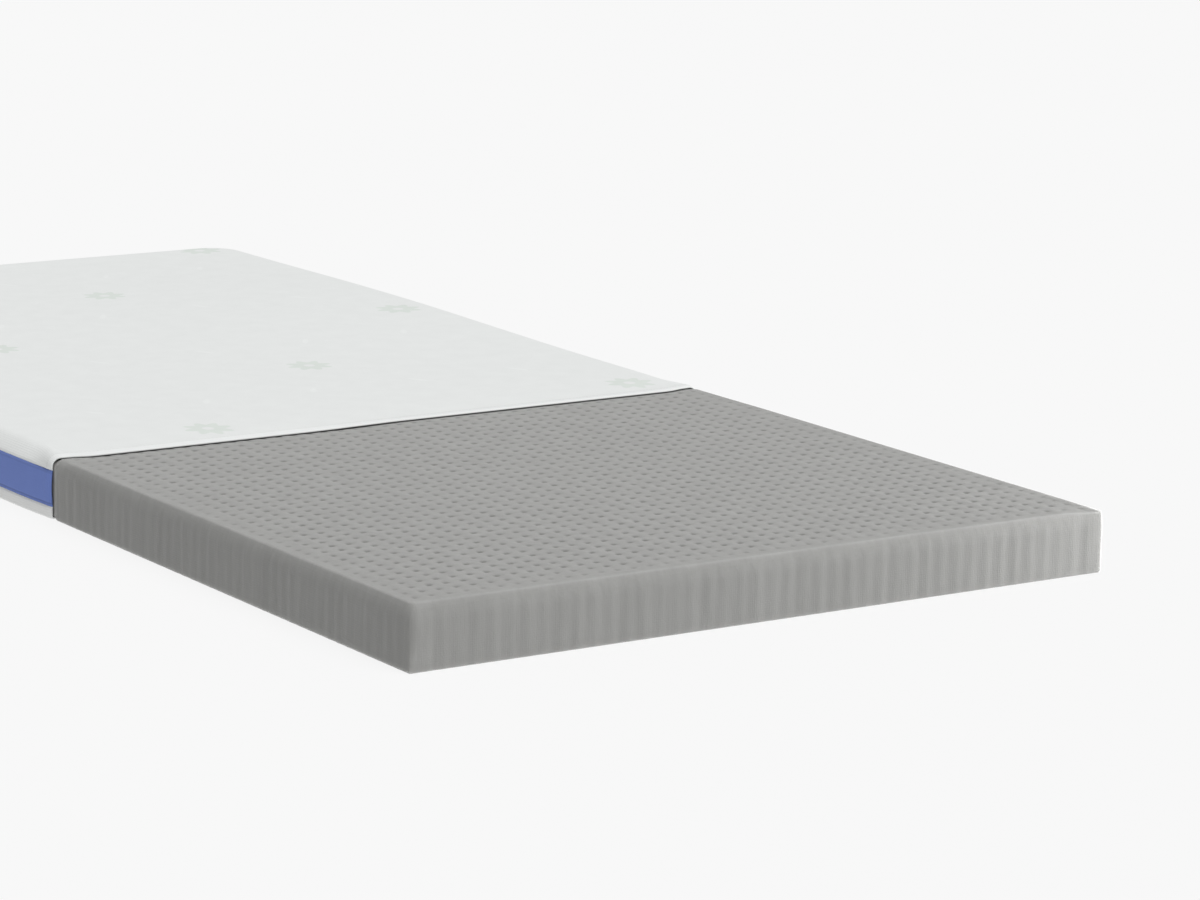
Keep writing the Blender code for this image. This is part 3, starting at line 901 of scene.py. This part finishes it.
def light_table():
    """Opal sheet that glows a little of itself, so that shadows on it stay faint."""
    material = new_material("opal_light_table")
    place = add(material, "TexCoord")["Object"]
    cloud = add(material, "TexNoise", {"Vector": place, "Scale": 0.8, "Detail": 2.0})["Fac"]
    colour = add(material, "Mix", {"Factor": cloud, "A": linear("#4A4A4A"),
                                   "B": linear("#4D4D4D")}, data_type="RGBA")["Result"]
    set_shader(material, {"Base Color": colour, "Roughness": 0.9, "Specular IOR Level": 0.0,
                          "Emission Color": (1.0, 1.0, 1.0, 1.0), "Emission Strength": 0.867})
    material.cycles.emission_sampling = "NONE"
    return material


# ------------------------------------------------------------- the studio

CAMERA_PLACE = (-2.6449, -4.5774, 1.1261)
CAMERA_TURN = math.radians(34.068)      # away from +Y, towards +X
CAMERA_DIP = math.radians(12.012)
CAMERA_ROLL = math.radians(1.280)
CAMERA_LENS = 130.316
FLOOR_SIZE = 60.0
SUN_TOWARD = (0.12, -0.39, 0.69)
SUN_STRENGTH = 2.32
SUN_SPREAD = 50.0
SKY_STRENGTH = 0.36
PANEL_PLACE = (0.85, -1.25, 0.12)
PANEL_AIM = (0.30, -1.00, 0.05)
PANEL_SIZE = (0.50, 0.16)
PANEL_POWER = 3.4


def make_camera():
    """The camera, a long lens on a 36 mm sensor."""
    data = bpy.data.cameras.new("camera")
    data.sensor_fit = "HORIZONTAL"
    data.sensor_width = 36.0
    data.lens = CAMERA_LENS
    data.clip_end = 200.0
    camera = bpy.data.objects.new("camera", data)
    bpy.context.scene.collection.objects.link(camera)
    camera.matrix_world = (Matrix.Translation(CAMERA_PLACE)
                           @ Matrix.Rotation(-CAMERA_TURN, 4, "Z")
                           @ Matrix.Rotation(math.pi / 2 - CAMERA_DIP, 4, "X")
                           @ Matrix.Rotation(CAMERA_ROLL, 4, "Z"))
    bpy.context.scene.camera = camera


def make_sun(name, toward, strength, spread):
    """A soft sun that shines from the direction toward."""
    data = bpy.data.lights.new(name, "SUN")
    data.energy = strength
    data.angle = math.radians(spread)
    sun = bpy.data.objects.new(name, data)
    bpy.context.scene.collection.objects.link(sun)
    sun.rotation_euler = Vector(toward).to_track_quat("Z", "Y").to_euler()


def make_side_light(pieces):
    """A weak panel, low down on the right, that lifts the bare end towards its right corner.
    It falls on the topper's pieces alone, so that it leaves no bright pool on the floor."""
    data = bpy.data.lights.new("side_light", "AREA")
    data.shape = "RECTANGLE"
    data.size, data.size_y = PANEL_SIZE
    data.energy = PANEL_POWER
    light = bpy.data.objects.new("side_light", data)
    bpy.context.scene.collection.objects.link(light)
    light.location = PANEL_PLACE
    back = Vector(PANEL_PLACE) - Vector(PANEL_AIM)
    light.rotation_euler = back.to_track_quat("Z", "Y").to_euler()
    light.visible_camera = False
    lit = bpy.data.collections.new("lit_by_side_light")
    for piece in pieces:
        lit.objects.link(piece)
    light.light_linking.receiver_collection = lit


def make_world():
    """An even white sky."""
    world = bpy.data.worlds.new("studio")
    world.use_nodes = True
    sky = world.node_tree.nodes["Background"]
    sky.inputs["Color"].default_value = (1.0, 1.0, 1.0, 1.0)
    sky.inputs["Strength"].default_value = SKY_STRENGTH
    bpy.context.scene.world = world


def make_floor():
    """The light table under the topper, which is no part of it."""
    bpy.ops.object.select_all(action="DESELECT")
    bpy.ops.mesh.primitive_plane_add(size=FLOOR_SIZE, location=(0.0, 0.0, 0.0))
    floor = bpy.context.object
    floor.name = "floor"
    floor.data.transform(Matrix.Translation((0.0, 0.0, -0.0001)))
    floor.data.materials.append(light_table())


make_camera()
make_floor()
make_world()
make_sun("key_sun", SUN_TOWARD, SUN_STRENGTH, SUN_SPREAD)
bpy.context.scene.view_settings.view_transform = "Standard"

core = make_core(grey_spunbond())
top_panel = make_panel("top_panel", "cover_top",
                       knit("white_jacquard_knit", "#E8EAE9", "#D0D3D2", figured=True),
                       CORE_HEIGHT + CLOTH, HIGH_SEAM + GAP / 2, SHOULDER, TOP_DROPS, CLOTH_STEP)
# Painted shade along the band's two seams: above the lower seam at its stitches, and below the upper
# seam
seam_shade_lines = ((LOW_SEAM + STITCHES_UP, 0.72, 0.0022), (HIGH_SEAM - 0.002, 0.86, 0.003))
side_band = make_side_band(knit("blue_border_knit", "#7085C6", "#4E62A8", lines=seam_shade_lines))
lower_panel = make_panel("lower_panel", "cover_bottom",
                         knit("white_lower_knit", "#E8E9E8", "#CECFCE"),
                         0.0, LOW_SEAM - GAP / 2, FOOT, LOWER_RISES, 2 * CLOTH_STEP)
make_side_light((core, top_panel, side_band, lower_panel))
